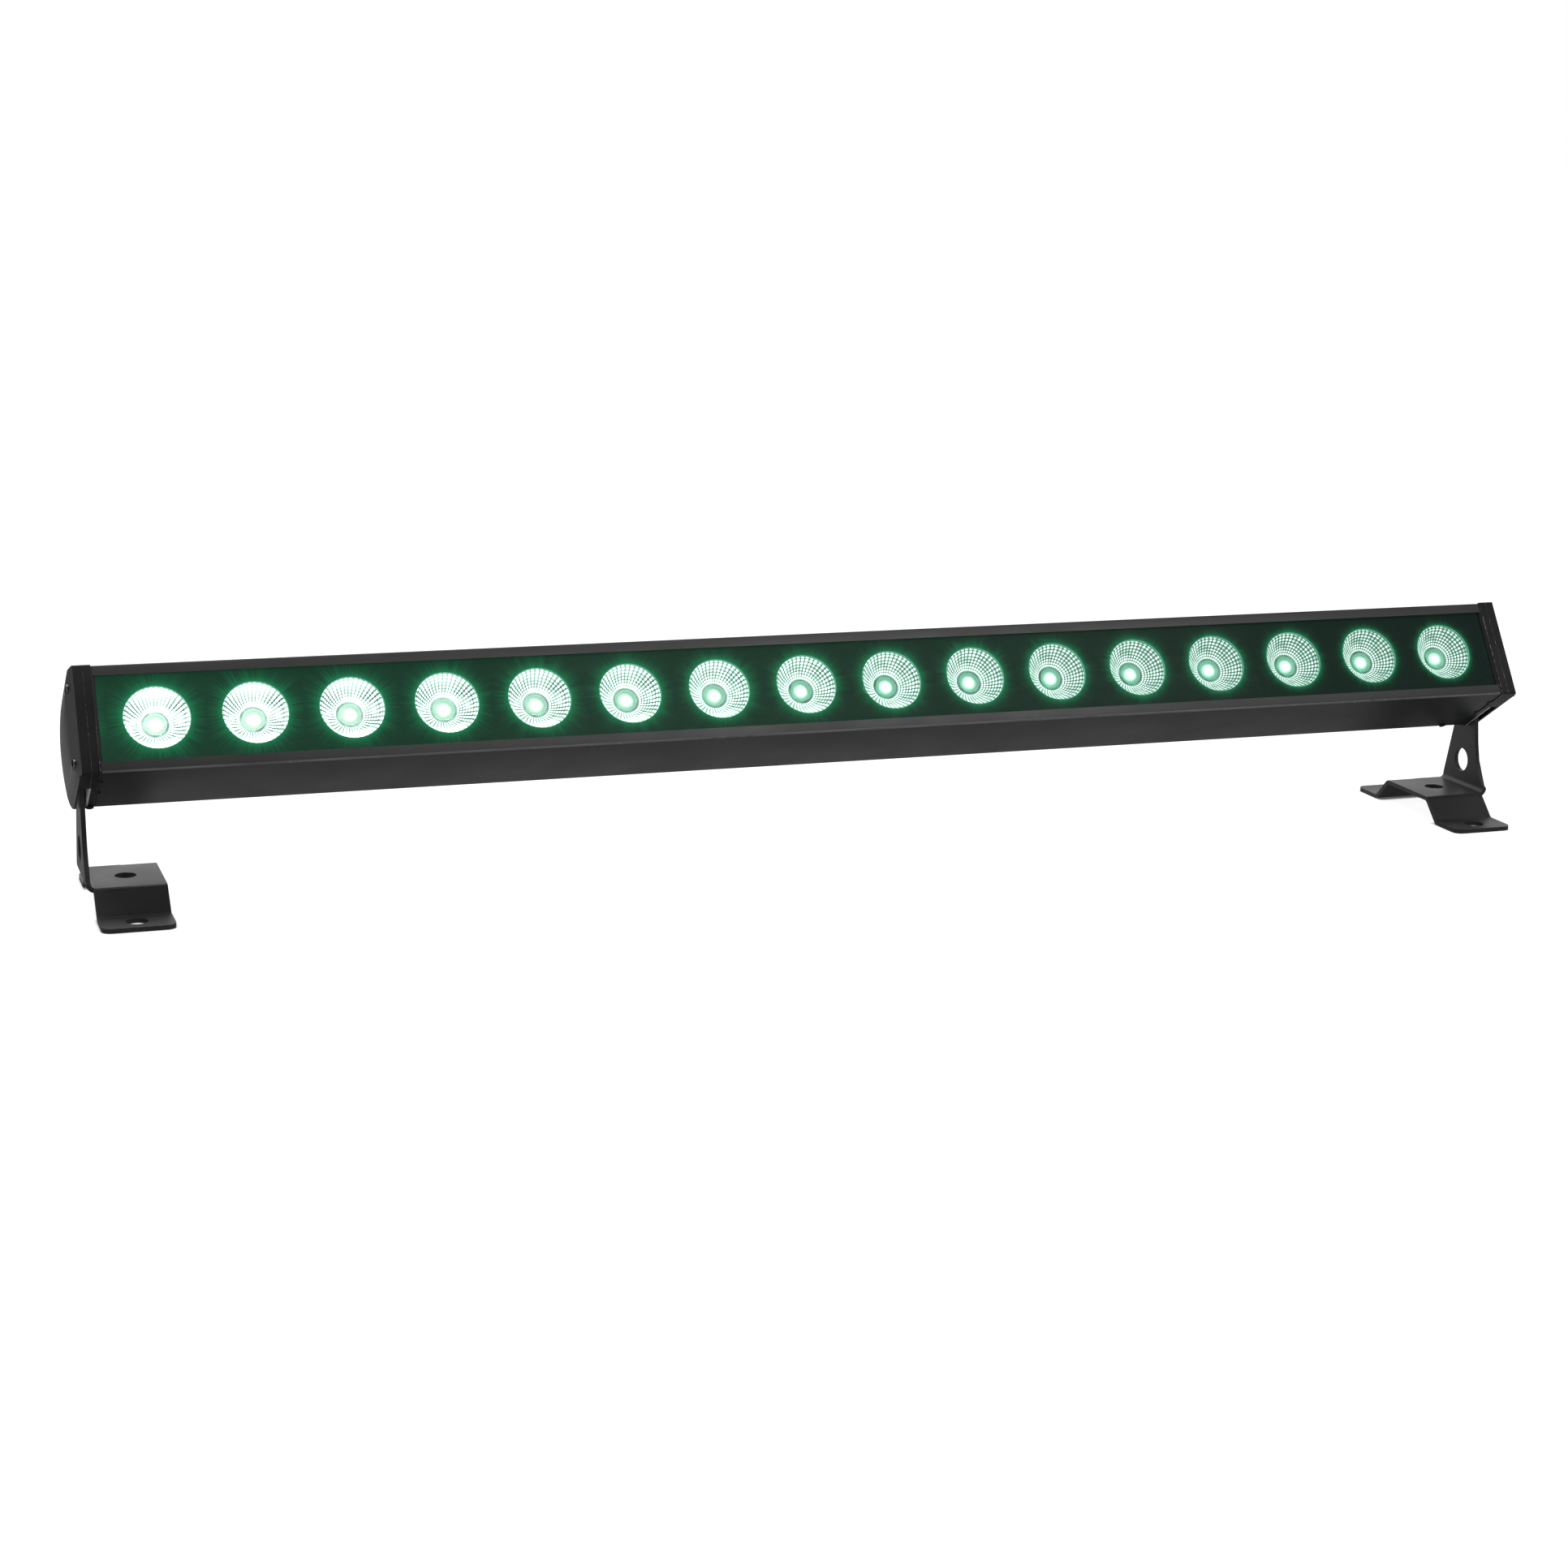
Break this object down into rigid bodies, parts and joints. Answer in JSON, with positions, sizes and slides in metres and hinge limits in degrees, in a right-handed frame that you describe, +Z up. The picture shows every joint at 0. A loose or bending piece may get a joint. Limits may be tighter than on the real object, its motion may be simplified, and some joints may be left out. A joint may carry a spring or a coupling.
{
  "type": "led strip batten",
  "caption": "Long box-section stage light with a row of round faceted cells behind one tinted window, tilting on a folded foot at each end.",
  "frame": {"origin": "on the floor, midway between the two feet and straight below the tilt axis", "axes": "+X along the batten to the right as seen from the front, +Y to its back, +Z up; light leaves towards -Y and up"},
  "size_m": [1.007, 0.1378, 0.1546],
  "materials": {
    "housing_paint": "fine matt powder coat",
    "window_glass": "clear, green tint",
    "window_rubber": "matt",
    "mask_paint": "matt",
    "reflector_metal": "mirror",
    "lens_glass": "clear",
    "emitter_face": "gloss",
    "led_board_white": "satin",
    "spreader_metal": "mill",
    "supply_case": "brushed",
    "circuit_board": "satin",
    "wire_jacket": "satin",
    "panel_paint": "matt",
    "fastener_steel": "plated",
    "display_face": "gloss",
    "vent_plastic": "matt",
    "power_in_plastic": "gloss",
    "power_out_plastic": "gloss",
    "data_shell": "plated",
    "button_plastic": "satin",
    "end_rubber": "matt",
    "flange_paint": "fine matt powder coat",
    "cover_paint": "fine matt powder coat",
    "liner_nylon": "satin",
    "washer_nylon": "satin",
    "bracket_paint": "fine matt powder coat"
  },
  "bodies": {
    "housing": {"housing_extrusion": "housing_paint", "front_window": "window_glass", "window_seal": "window_rubber", "mask_plate": "mask_paint", "reflector_01": "reflector_metal", "reflector_02": "reflector_metal", "reflector_03": "reflector_metal", "reflector_04": "reflector_metal", "reflector_05": "reflector_metal", "reflector_06": "reflector_metal", "reflector_07": "reflector_metal", "reflector_08": "reflector_metal", "reflector_09": "reflector_metal", "reflector_10": "reflector_metal", "reflector_11": "reflector_metal", "reflector_12": "reflector_metal", "reflector_13": "reflector_metal", "reflector_14": "reflector_metal", "reflector_15": "reflector_metal", "reflector_16": "reflector_metal", "lens_domes": "lens_glass", "led_emitters": "emitter_face", "led_board_1": "led_board_white", "led_board_2": "led_board_white", "led_board_3": "led_board_white", "led_board_4": "led_board_white", "heat_spreader": "spreader_metal", "power_supply": "supply_case", "driver_board": "circuit_board", "control_board": "circuit_board", "wiring_harness": "wire_jacket", "rear_panel": "panel_paint", "panel_screws": "fastener_steel", "edge_screws": "fastener_steel", "end_screws": "fastener_steel", "pivot_bolts": "fastener_steel", "pivot_nuts": "fastener_steel", "display_window": "display_face", "breather_vent": "vent_plastic", "power_in_socket": "power_in_plastic", "power_out_socket": "power_out_plastic", "data_in_socket": "data_shell", "data_out_socket": "data_shell", "end_seal_left": "end_rubber", "end_seal_right": "end_rubber", "end_flange_left": "flange_paint", "end_flange_right": "flange_paint", "end_cover_left": "cover_paint", "end_cover_right": "cover_paint", "slot_liner_left": "liner_nylon", "slot_liner_right": "liner_nylon", "friction_washers": "washer_nylon"},
    "bracket_left": {"bracket_left": "bracket_paint"},
    "bracket_right": {"bracket_right": "bracket_paint"},
    "menu_button_1": {"menu_button_1": "button_plastic"},
    "menu_button_2": {"menu_button_2": "button_plastic"},
    "menu_button_3": {"menu_button_3": "button_plastic"},
    "menu_button_4": {"menu_button_4": "button_plastic"}
  },
  "joints": [
    {"name": "tilt_left", "type": "hinge", "parent": "housing", "child": "bracket_left", "pos_m": [-0.4945, 0, 0.104], "axis": [1, 0, 0], "range_deg": [-33.5, 56.5]},
    {"name": "tilt_right", "type": "hinge", "parent": "housing", "child": "bracket_right", "pos_m": [0.4945, 0, 0.104], "axis": [1, 0, 0], "range_deg": [-33.5, 56.5]},
    {"name": "press_1", "type": "slide", "parent": "housing", "child": "menu_button_1", "axis": [0, -0.8339, 0.5519], "range_m": [0, 0.001], "stiffness_N_per_m": 300},
    {"name": "press_2", "type": "slide", "parent": "housing", "child": "menu_button_2", "axis": [0, -0.8339, 0.5519], "range_m": [0, 0.001], "stiffness_N_per_m": 300},
    {"name": "press_3", "type": "slide", "parent": "housing", "child": "menu_button_3", "axis": [0, -0.8339, 0.5519], "range_m": [0, 0.001], "stiffness_N_per_m": 300},
    {"name": "press_4", "type": "slide", "parent": "housing", "child": "menu_button_4", "axis": [0, -0.8339, 0.5519], "range_m": [0, 0.001], "stiffness_N_per_m": 300}
  ]
}
